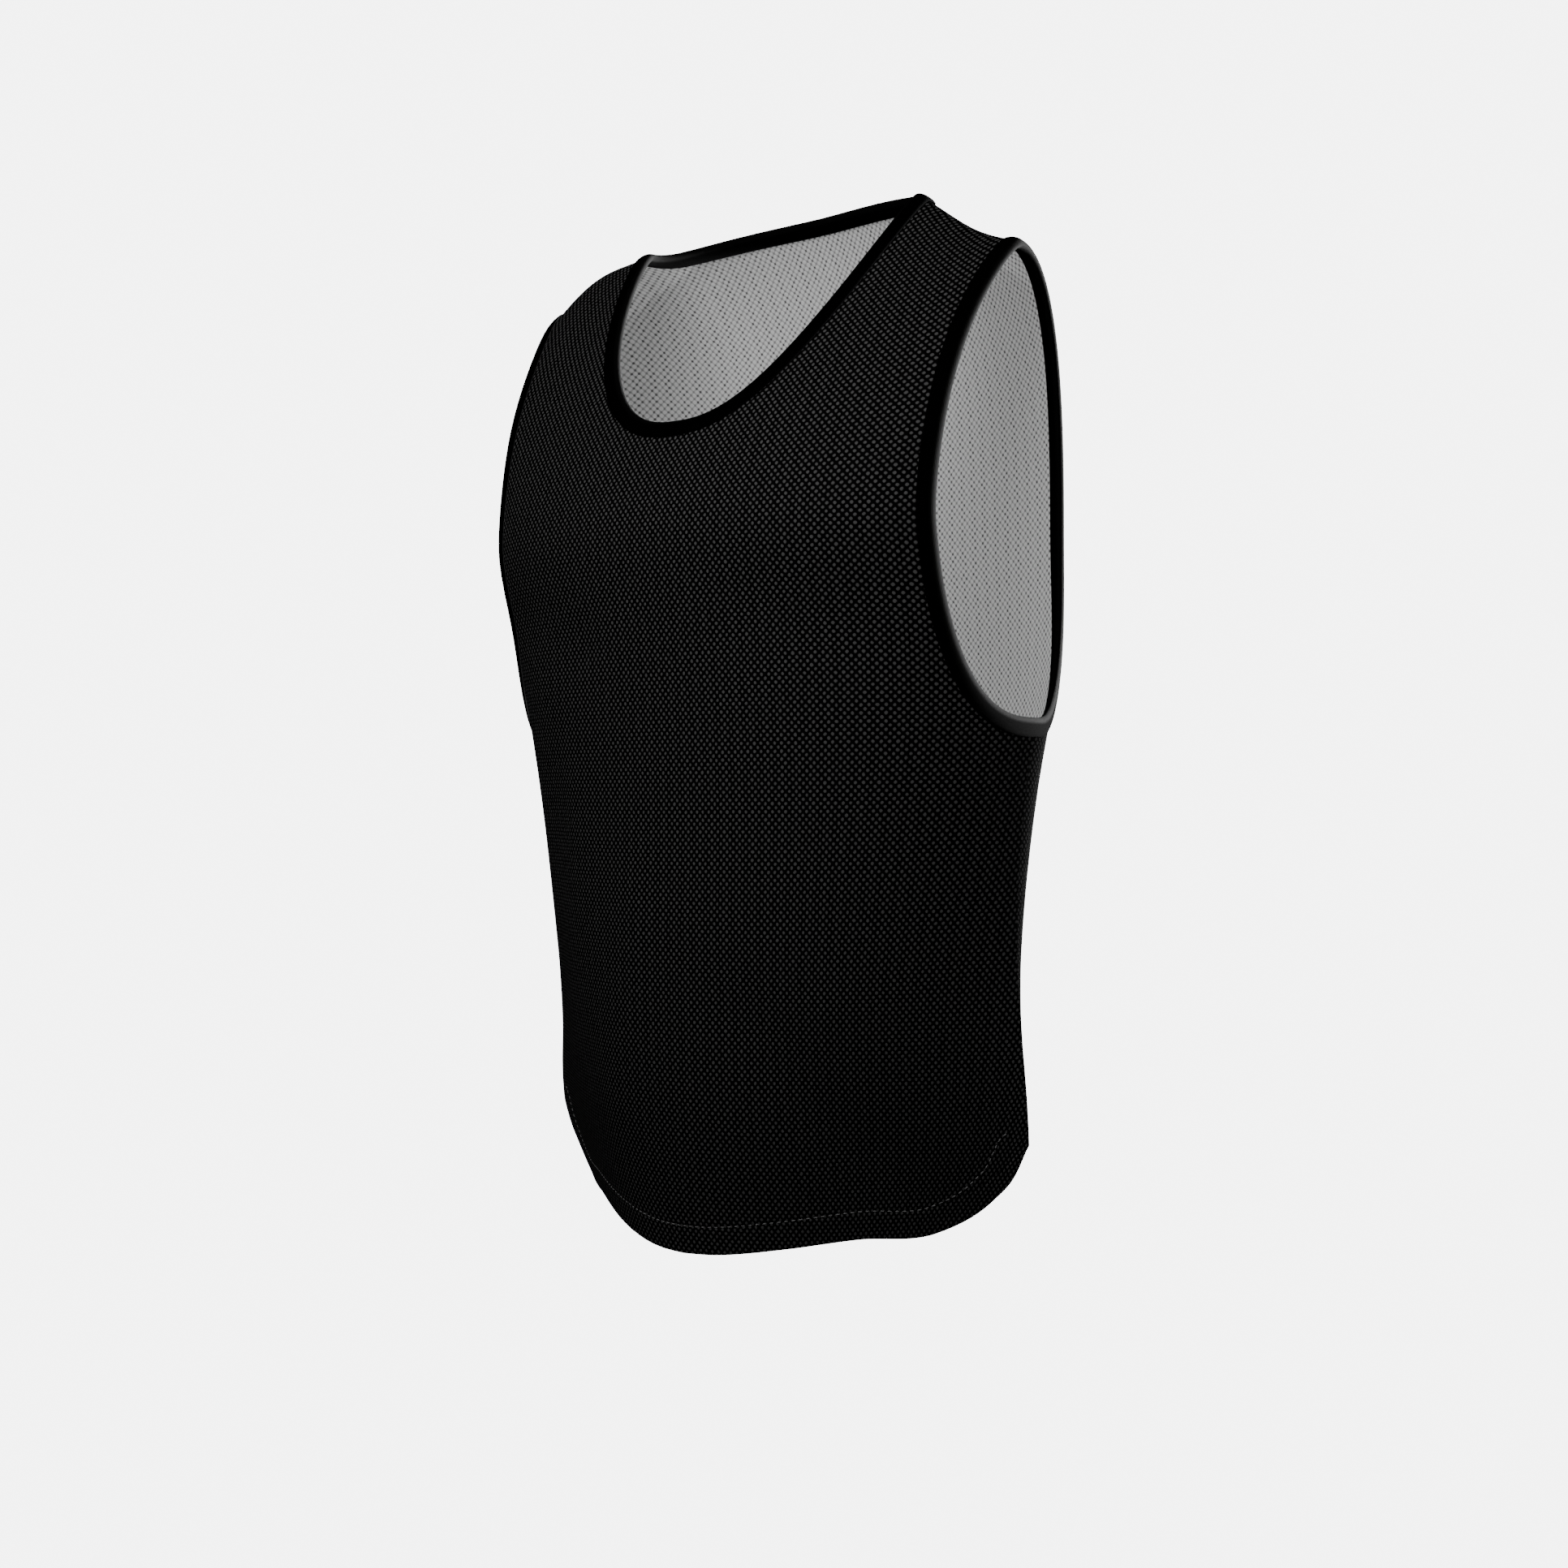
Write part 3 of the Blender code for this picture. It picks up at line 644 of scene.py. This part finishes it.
def inner_mesh_material(cloth_size):
    """Light knitted mesh: pale ovals, faint diagonal threads and small dark gaps."""
    material, tree, shader = new_material("light_mesh_knit", 0.85, 0.15, 0.05, 0.5)
    _, dots, crossings, slack = knit_waves(tree, cloth_size)
    thread = 1.0 - dots.step(0.05, 0.65)
    gap = crossings.step(0.52, 0.95) * (0.40 + slack.step(-0.5, 0.7) * 0.60)
    colour = mixed(thread * 0.75, tuple(cloth_size.light_colour), tuple(cloth_size.line_colour))
    colour = mixed(gap, colour, tuple(cloth_size.gap_colour))
    tree.links.new(colour.socket, shader.inputs["Base Color"])
    bumped(tree, shader, dots.step(0.0, 0.8) - gap, cloth_size.relief)
    return material


def tape_material(tape):
    """Smooth black knitted tape: matt, with a painted sheen along the turn of its fold, where its
    colour is lighter so that the rim light makes a highlight there, and a fine rib along its
    length."""
    material, tree, shader = new_material("black_binding_tape", 0.60, 0.0)
    uv, _, round_it = flat_place(tree)
    rib = (round_it * (2 * math.pi / tape.rib)).cosine()
    fuzz = cloud(uv, 700.0, 2.0)
    section = tape_section()
    fold_at = np.hypot(*np.diff(section[:section[:, 0].argmin() + 1], axis=0).T).sum()
    # painted sheen: the colour is lighter along the turn of the fold, a highlight put into the
    # colour
    painted_sheen = 1.0 - (round_it - fold_at).size().step(0.0030, 0.0055)
    colour = mixed(painted_sheen, tuple(tape.colour), tuple(tape.painted_sheen_colour))
    colour = mixed(fuzz * 0.4, colour, (0.0, 0.0, 0.0))
    tree.links.new(colour.socket, shader.inputs["Base Color"])
    bumped(tree, shader, rib * 0.4 + fuzz, 0.00004)
    return material


def thread_material(hem):
    """Sewing thread, a little lighter than the mesh."""
    material, tree, shader = new_material("hem_thread", 0.55, 0.4, 0.2, 0.4)
    twist = Wire.node(tree, "ShaderNodeTexNoise", {},
                      {"Vector": Wire.node(tree, "ShaderNodeTexCoord", out=3),
                       "Scale": 1500.0})
    colour = mixed(twist, tuple(0.7 * c for c in hem.colour), tuple(1.3 * c for c in hem.colour))
    tree.links.new(colour.socket, shader.inputs["Base Color"])
    return material


# ---- sizes and colours a user would change --------------------
def length(name, description, default):
    """A length in metres that can't be negative."""
    return FloatProperty(name=name, description=description, default=default, min=0.0,
                         unit="LENGTH", precision=5)


def colour(name, description, default):
    """A linear colour."""
    return FloatVectorProperty(name=name, description=description, default=default, size=3,
                               min=0.0, max=1.0, subtype="COLOR")


class BibClothSettings(PropertyGroup):
    """Sizes and colours of the two plies of mesh."""
    ply: length("Ply thickness", "Thickness of one ply of mesh", 0.0010)
    repeat_width: length("Repeat width", "Width of one repeat of the knit", 0.0043)
    repeat_height: length("Repeat height", "Height of one repeat of the knit", 0.0049)
    relief: length("Relief", "Depth of the knit's relief", 0.00025)
    thread_colour: colour("Thread", "Colour of the outer threads", (0.001, 0.001, 0.001))
    dot_colour: colour("Dots", "Colour of the outer dots", (0.135, 0.135, 0.135))
    light_colour: colour("Light mesh", "Colour of the inner ply", (0.66, 0.66, 0.66))
    line_colour: colour("Light lines", "Colour of the inner ply's threads", (0.36, 0.36, 0.36))
    gap_colour: colour("Light gaps", "Colour of the inner ply's gaps", (0.10, 0.10, 0.10))


class BibTapeSettings(PropertyGroup):
    """Sizes and colour of the binding tape."""
    leg: length("Leg", "How far the tape reaches over the mesh", 0.0092)
    thick: length("Thickness", "Thickness of the tape", 0.0010)
    gap: length("Gap", "Air between the tape and the mesh", 0.0003)
    crown: length("Crown", "How far the tape's face bulges", 0.0009)
    rib: length("Rib", "Spacing of the ribs along the tape", 0.0008)
    colour: colour("Tape", "Colour of the tape", (0.0015, 0.0015, 0.0015))
    # painted sheen: the lighter colour along the fold stands in for a highlight
    painted_sheen_colour: colour("Fold", "Colour along the tape's fold", (0.006, 0.006, 0.006))


class BibHemSettings(PropertyGroup):
    """Sizes and colour of the hem's stitches."""
    stitch_height: length("Height", "Distance of the stitches from the hem", 0.0180)
    stitch_length: length("Length", "Length of one stitch", 0.0026)
    stitch_pitch: length("Pitch", "From one stitch to the next", 0.0046)
    stitch_thick: length("Thickness", "Thickness of the thread", 0.0007)
    colour: colour("Thread", "Colour of the thread", (0.42, 0.42, 0.42))


class BibStageSettings(PropertyGroup):
    """Floor, backdrop, lights and camera."""
    backdrop: FloatProperty(name="Backdrop", description="Brightness of floor and backdrop",
                            default=6.0, min=0.0)
    floor_height: FloatProperty(name="Floor height", description="Height of the floor",
                                default=-1.25, unit="LENGTH")
    front: FloatProperty(name="Front light", description="Power of the softbox in front",
                         default=1.55, min=0.0, unit="POWER")
    side: FloatProperty(name="Side light", description="Power of the softbox at the side",
                        default=3.0, min=0.0, unit="POWER")
    rim: FloatProperty(name="Rim light", description="Power of the light on the tapes' folds",
                       default=950.0, min=0.0, unit="POWER")
    back: FloatProperty(name="Back light", description="Power of the softbox behind",
                        default=6.0, min=0.0, unit="POWER")
    top: FloatProperty(name="Top light", description="Power of the softbox above", default=0.3,
                       min=0.0, unit="POWER")
    inside: FloatProperty(name="Inside light", description="Power of each lamp inside the bib",
                          default=0.36, min=0.0, unit="POWER")
    ambient: FloatProperty(name="Ambient", description="Brightness of the light all round",
                           default=0.02, min=0.0)
    azimuth: FloatProperty(name="Azimuth", description="Viewing angle round the bib",
                           default=math.radians(36.3), subtype="ANGLE")
    distance: length("Distance", "Distance of the camera", 1.45)
    eye: FloatProperty(name="Eye height", description="Height of the camera",
                       default=-0.394, unit="LENGTH")
    lens: FloatProperty(name="Lens", description="Focal length in mm", default=50.0, min=1.0)
    horizon: IntProperty(name="Horizon", description="Row of the eye height in the picture",
                         default=1007)
    axis_column: IntProperty(name="Axis", description="Column of the bib's axis", default=960)


PHOTO_SIDE = 1932         # the picture is this many pixels wide and high


# ---- the pieces -----------------------------------------------
def fold_reach():
    """How far the fold of the tape stands past the raw edge of the cloth."""
    c, t = bpy.context.scene.bib_cloth, bpy.context.scene.bib_tape
    return (2 * c.ply + PLY_GAP) / 2 + t.gap + t.thick


def panel_nets(face):
    """Every net of a panel, both sides: points, normals, flat place, height over the hem."""
    fields, *_ = half_panel(face, fold_reach(), bpy.context.scene.bib_tape.leg)
    hem = hem_line(face, 200)
    nets = []
    for hand in (+1, -1):
        edge = grain(hem, face, hand)
        order = np.argsort(edge[:, 0])
        for field in fields:
            p, n = cloth(field, face, hand)
            flat = grain(field, face, hand)
            over = flat[..., 1] - np.interp(flat[..., 0], edge[order, 0], edge[order, 1])
            nets.append((p, n, flat, over))
    return nets


def stations(kind, share):
    """Points and normals round a bound edge at a share of the strip's width, 0 the raw
    edge and 1 the leg's end, front and back joined at the seams."""
    runs = {}
    for face in (-1, +1):
        _, arm, arm_in, neck, neck_in = half_panel(face, fold_reach(),
                                                   bpy.context.scene.bib_tape.leg)
        edge, inner = (neck, neck_in) if kind == "neck" else (arm, arm_in)
        line = edge + (inner - edge) * share
        for hand in (+1, -1):
            runs[face, hand] = np.concatenate(cloth(line, face, hand), -1)

    def joined(hand):
        front, back = runs[-1, hand], runs[+1, hand]
        seam = (front[-1:] + back[-1:]) / 2
        return np.concatenate((front[:-1], seam, back[-2:0:-1])), (front[:1] + back[:1]) / 2
    if kind == "neck":
        (left, _), (right, _) = joined(+1), joined(-1)
        ring = np.concatenate((left, runs[+1, +1][:1], right[:0:-1]))
    else:
        ring, seam = joined(+1 if kind == "left" else -1)
        ring[0] = seam[0]
    return ring[:, :3], unit(ring[:, 3:])


def tape_section():
    """The tape's section as (reach into the cloth, height over the middle of the plies).
    The face is a quarter of an ellipse at the fold that flattens along the leg, sinks a
    little and turns down at its end; the lining runs back along the cloth."""
    c, t = bpy.context.scene.bib_cloth, bpy.context.scene.bib_tape
    half = (2 * c.ply + PLY_GAP) / 2
    fold, full = fold_reach(), fold_reach() + t.crown
    s = 1 - np.cos(np.linspace(0, np.pi / 2, 13))     # dense at the fold
    bow_end, sink_share = 0.60, 0.45
    reach = -fold + (t.leg + fold) * s
    bow = np.sqrt(np.maximum(1 - (1 - np.minimum(s / bow_end, 1))**2, 0))
    sink = np.clip((s - bow_end) / (1 - bow_end), 0, 1)
    height = (half + t.gap) + (full - half - t.gap) * (1 - sink_share * sink**2)
    height = height * bow
    reach = np.append(reach, t.leg + 0.0003)
    height = np.append(height, half + t.gap + 0.0003)
    lining = np.array([(t.leg, half + t.gap), (t.leg / 2, half + t.gap), (0.0, half + t.gap),
                       (-0.5 * t.gap - 0.0004, half * 0.75)])
    face = np.column_stack((reach, height))
    low = face[:0:-1] * (1, -1)
    inner = np.concatenate((lining, [(-t.gap - 0.0006, 0.0)], lining[::-1] * (1, -1)))
    return np.concatenate((low, face, inner))


def tape_piece(name, kind, material):
    """The tape's section carried round a bound edge. A point at reach r and height h lies
    at the cloth's middle at reach r, plus h along the cloth's normal; past the raw edge
    it lies straight out from it."""
    c, t = bpy.context.scene.bib_cloth, bpy.context.scene.bib_tape
    middle = -(2 * c.ply + PLY_GAP) / 2
    section = tape_section()
    edge, edge_n = stations(kind, 0.0)
    ahead, _ = stations(kind, 0.25)
    out = unit(edge - ahead)
    out = unit(out - edge_n * (out * edge_n).sum(1, keepdims=True))
    rings = []
    for reach, height in section:
        if reach > 0:
            p, n = stations(kind, reach / t.leg)
            rings.append(p + n * (middle + height))
        else:
            rings.append(edge + edge_n * (middle + height) - out * reach)
    points = np.stack(rings, 1)
    count, width = points.shape[:2]
    run = np.cumsum(np.linalg.norm(np.diff(edge, axis=0, prepend=edge[:1]), axis=1))
    over = np.cumsum(np.hypot(*np.diff(section, axis=0, prepend=section[:1]).T))
    uv = np.stack(np.broadcast_arrays(run[:, None], over[None]), -1).reshape(-1, 2)
    faces = grid_faces(count, width, closed=(True, True))
    points = points.reshape(-1, 3)
    a, b, d = (points[faces[:, k]] for k in (0, 1, 3))
    if (a * np.cross(b, d)).sum() < 0:      # six times the volume: the faces point inwards
        faces = faces[:, ::-1]
    return mesh_piece(name, points, faces, uv, material)


def stitch_row(name, face, material):
    """A row of sewing stitches a set distance above the hem: each is a long ellipsoid,
    half sunk in the cloth, laid along the row."""
    hem = bpy.context.scene.bib_hem
    edge = hem_line(face, 400)
    base = bare(edge[:, 0], edge[:, 1], face)
    up = facing(edge[:, 0], edge[:, 1], face, lambda u, v: bare(u, v, face))
    into = unit(np.cross(up, np.gradient(base, axis=0)))
    into *= np.sign(into[len(into) // 2, 2])
    raised = base + into * hem.stitch_height
    inside = raised[:, 0] < half_width(raised[:, 2]) - 0.001
    raised[0, 0] = 0.0
    line = np.stack(place(raised[inside, 0], raised[inside, 2]), -1)
    (left, left_n), (right, right_n) = cloth(line, face, +1), cloth(line, face, -1)
    path = np.concatenate((right[:0:-1], left))
    normal = np.concatenate((right_n[:0:-1], left_n))
    run = np.concatenate(([0], np.cumsum(np.linalg.norm(np.diff(path, axis=0), axis=1))))
    at = np.arange(0.6 * hem.stitch_pitch, run[-1] - 0.6 * hem.stitch_pitch, hem.stitch_pitch)

    def read(values, places):
        return np.stack([np.interp(places, run, values[:, k]) for k in range(3)], -1)
    centre, up = read(path, at), unit(read(normal, at))
    ahead = unit(read(path, at + 5e-4) - read(path, at - 5e-4))
    side = np.cross(up, ahead)
    rings, sides = 6, 6
    polar = np.linspace(0, np.pi, rings)
    round_it = np.linspace(0, 2 * np.pi, sides + 1)[:-1]
    lie = (np.cos(polar) * hem.stitch_length / 2)[None, :, None, None]
    ring = (np.sin(polar) * hem.stitch_thick / 2)[None, :, None, None]
    co, si = (f(round_it)[None, None, :, None] for f in (np.cos, np.sin))
    points = (centre[:, None, None] + ahead[:, None, None] * lie
              + ring * (side[:, None, None] * co + up[:, None, None] * si))
    points = points.reshape(-1, 3)
    one = grid_faces(rings, sides, closed=(False, True))
    faces = (one[None] + (np.arange(len(at)) * rings * sides)[:, None, None]).reshape(-1, 4)
    return mesh_piece(name, points, faces, np.zeros((len(points), 2)), material)


def finished(piece, node):
    """The piece rides on the body and stands for its solid, which is hidden."""
    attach(piece, "root")
    if node:
        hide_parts(node)
    return piece


def ply_pieces(ply, top, material):
    """The front and the back of one ply, whose outer side lies at top."""
    for face, label in ((-1, "front"), (+1, "back")):
        piece = shell(f"{ply}_{label}_cloth", panel_nets(face), top,
                      bpy.context.scene.bib_cloth.ply, material)
        finished(piece, f"{ply}_{label}")


class BIB_OT_outer_ply(Operator):
    """Make the outer front and back of black mesh"""
    bl_idname = "bib.outer_ply"
    bl_label = "Outer Ply"

    def execute(self, context):
        size = context.scene.bib_cloth
        ply_pieces("outer", 0.0, outer_mesh_material(size))
        return {"FINISHED"}


class BIB_OT_inner_ply(Operator):
    """Make the inner front and back of light mesh"""
    bl_idname = "bib.inner_ply"
    bl_label = "Inner Ply"

    def execute(self, context):
        size = context.scene.bib_cloth
        ply_pieces("inner", -size.ply - PLY_GAP, inner_mesh_material(size))
        return {"FINISHED"}


class BIB_OT_bindings(Operator):
    """Fold black tape round the neck and both armholes"""
    bl_idname = "bib.bindings"
    bl_label = "Bindings"

    def execute(self, context):
        material = tape_material(context.scene.bib_tape)
        for kind, node in (("neck", "neck_binding"), ("left", "left_armhole_binding"),
                           ("right", "right_armhole_binding")):
            finished(tape_piece(node + "_tape", kind, material), node)
        return {"FINISHED"}


class BIB_OT_hem_stitches(Operator):
    """Sew one row of stitches above the hem"""
    bl_idname = "bib.hem_stitches"
    bl_label = "Hem Stitches"

    def execute(self, context):
        material = thread_material(context.scene.bib_hem)
        for face, label in ((-1, "front"), (+1, "back")):
            finished(stitch_row(label + "_hem_stitches", face, material), None)
        return {"FINISHED"}


def backdrop(stage):
    """A pale glowing ball all round and a pale floor that light nothing else."""
    glow = bpy.data.materials.new("pale_studio")
    glow.use_nodes = True
    tree = glow.node_tree
    tree.nodes.clear()
    light = Wire.node(tree, "ShaderNodeEmission", {},
                      {"Color": (0.995, 0.998, 1.0, 1.0), "Strength": stage.backdrop})
    output = tree.nodes.new("ShaderNodeOutputMaterial")
    tree.links.new(light.socket, output.inputs["Surface"])
    ball_radius, floor_radius = 8.0, 4.0
    ring = np.linspace(0, 2 * np.pi, 65)[:-1]
    polar = np.linspace(0, np.pi, 33)[:, None]
    ball = ball_radius * np.stack((np.sin(polar) * np.cos(ring), np.sin(polar) * np.sin(ring),
                                   np.cos(polar) + 0 * ring), -1)
    radius = np.linspace(0.01, floor_radius, 9)[:, None]
    disc = np.stack((radius * np.cos(ring), radius * np.sin(ring),
                     0 * radius * ring + stage.floor_height), -1)
    for name, points in (("studio_backdrop", ball), ("studio_floor", disc)):
        faces = grid_faces(*points.shape[:2], closed=(False, True))
        points = points.reshape(-1, 3)
        piece = mesh_piece(name, points, faces, np.zeros((len(points), 2)), glow)
        piece.visible_diffuse = piece.visible_glossy = piece.visible_shadow = False


def softboxes(context, stage):
    """The soft lamps and the faint light all round."""
    # name, power, width, height, place, what it faces, the pieces it lights ("" = all)
    for name, power, wide, high, at, target, lit in (
            ("front_softbox", stage.front, 0.7, 0.5, (0.14, -0.95, 0.22), (0.04, 0, -0.18), ""),
            ("side_softbox", stage.side, 0.9, 0.9, (1.22, 1.03, -0.35), (0, 0, -0.40), ""),
            ("top_softbox", stage.top, 1.2, 1.2, (0, -0.3, 1.5), (0, 0, -0.2), ""),
            ("back_softbox", stage.back, 0.9, 0.9, (-0.1, 1.4, -0.1), (0, 0, -0.34), "outer_back"),
            ("tape_softbox", stage.rim, 0.7, 0.7, (1.10, 1.16, -0.20), (0, 0, -0.20), "_tape"),
            ("inside_lamp_back", stage.inside, 0.36, 0.60, (0.03, -0.03, -0.21), (0.03, 1, -0.21),
             "inner_"),
            ("inside_lamp_front", stage.inside, 0.36, 0.60, (0.03, 0.03, -0.21), (0.03, -1, -0.21),
             "inner_")):
        lamp = bpy.data.lights.new(name, "AREA")
        lamp.energy, lamp.shape, lamp.size, lamp.size_y = power, "RECTANGLE", wide, high
        lamp.spread = math.radians(100 if name == "front_softbox" else 180)
        lamp.use_shadow = name != "tape_softbox"    # it grazes the tapes, as in the photo
        holder = bpy.data.objects.new(name, lamp)
        holder.location = at
        aim = Vector(target) - Vector(at)
        holder.rotation_euler = aim.to_track_quat("-Z", "Y").to_euler()
        holder.visible_camera = False
        context.scene.collection.objects.link(holder)
        if lit:
            pieces = bpy.data.collections.new("lit_by_" + name)
            for piece in context.scene.objects:
                if piece.type == "MESH" and lit in piece.name:
                    pieces.objects.link(piece)
            holder.light_linking.receiver_collection = pieces
    world = bpy.data.worlds.new("soft_studio")
    world.use_nodes = True
    world.node_tree.nodes["Background"].inputs["Color"].default_value = (1, 1, 1, 1)
    world.node_tree.nodes["Background"].inputs["Strength"].default_value = stage.ambient
    context.scene.world = world


def photo_camera(context, stage):
    """The camera of the picture, level and shifted to where the bib stands in it."""
    eye = bpy.data.cameras.new("photo_view")
    eye.lens, eye.sensor_width = stage.lens, 36.0
    half = PHOTO_SIDE / 2
    eye.shift_x = (half - stage.axis_column) / PHOTO_SIDE
    eye.shift_y = (stage.horizon - half) / PHOTO_SIDE
    camera = bpy.data.objects.new("photo_view", eye)
    camera.location = (stage.distance * math.sin(stage.azimuth),
                       -stage.distance * math.cos(stage.azimuth), stage.eye)
    camera.rotation_euler = (math.pi / 2, 0.0, stage.azimuth)
    context.scene.collection.objects.link(camera)
    context.scene.camera = camera


class BIB_OT_stage(Operator):
    """Make the pale floor and backdrop, the soft lights and the camera"""
    bl_idname = "bib.stage"
    bl_label = "Stage"

    def execute(self, context):
        stage = context.scene.bib_stage
        backdrop(stage)
        softboxes(context, stage)
        photo_camera(context, stage)
        return {"FINISHED"}


class BIB_PT_panel(Panel):
    """Lists the operators and the settings of the bib"""
    bl_label = "Training Bib"
    bl_idname = "BIB_PT_panel"
    bl_space_type = "VIEW_3D"
    bl_region_type = "UI"
    bl_category = "Bib"

    def draw(self, context):
        for group, operators in GROUPS:
            box = self.layout.box()
            settings = getattr(context.scene, group)
            for key in settings.__annotations__:
                box.prop(settings, key)
            for operator in operators:
                box.operator(operator.bl_idname)


GROUPS = (
    ("bib_cloth", (BIB_OT_outer_ply, BIB_OT_inner_ply)),
    ("bib_tape", (BIB_OT_bindings,)),
    ("bib_hem", (BIB_OT_hem_stitches,)),
    ("bib_stage", (BIB_OT_stage,)),
)
SETTINGS = {"bib_cloth": BibClothSettings, "bib_tape": BibTapeSettings,
            "bib_hem": BibHemSettings, "bib_stage": BibStageSettings}
CLASSES = (*SETTINGS.values(), *(o for _, row in GROUPS for o in row), BIB_PT_panel)


def register():
    for cls in CLASSES:
        bpy.utils.register_class(cls)
    for key, cls in SETTINGS.items():
        setattr(bpy.types.Scene, key, PointerProperty(type=cls))


def unregister():
    for key in SETTINGS:
        delattr(bpy.types.Scene, key)
    for cls in reversed(CLASSES):
        bpy.utils.unregister_class(cls)


def main():
    register()
    for _, operators in GROUPS:
        for operator in operators:
            group, name = operator.bl_idname.split(".")
            getattr(getattr(bpy.ops, group), name)()


if __name__ == "__main__":
    main()
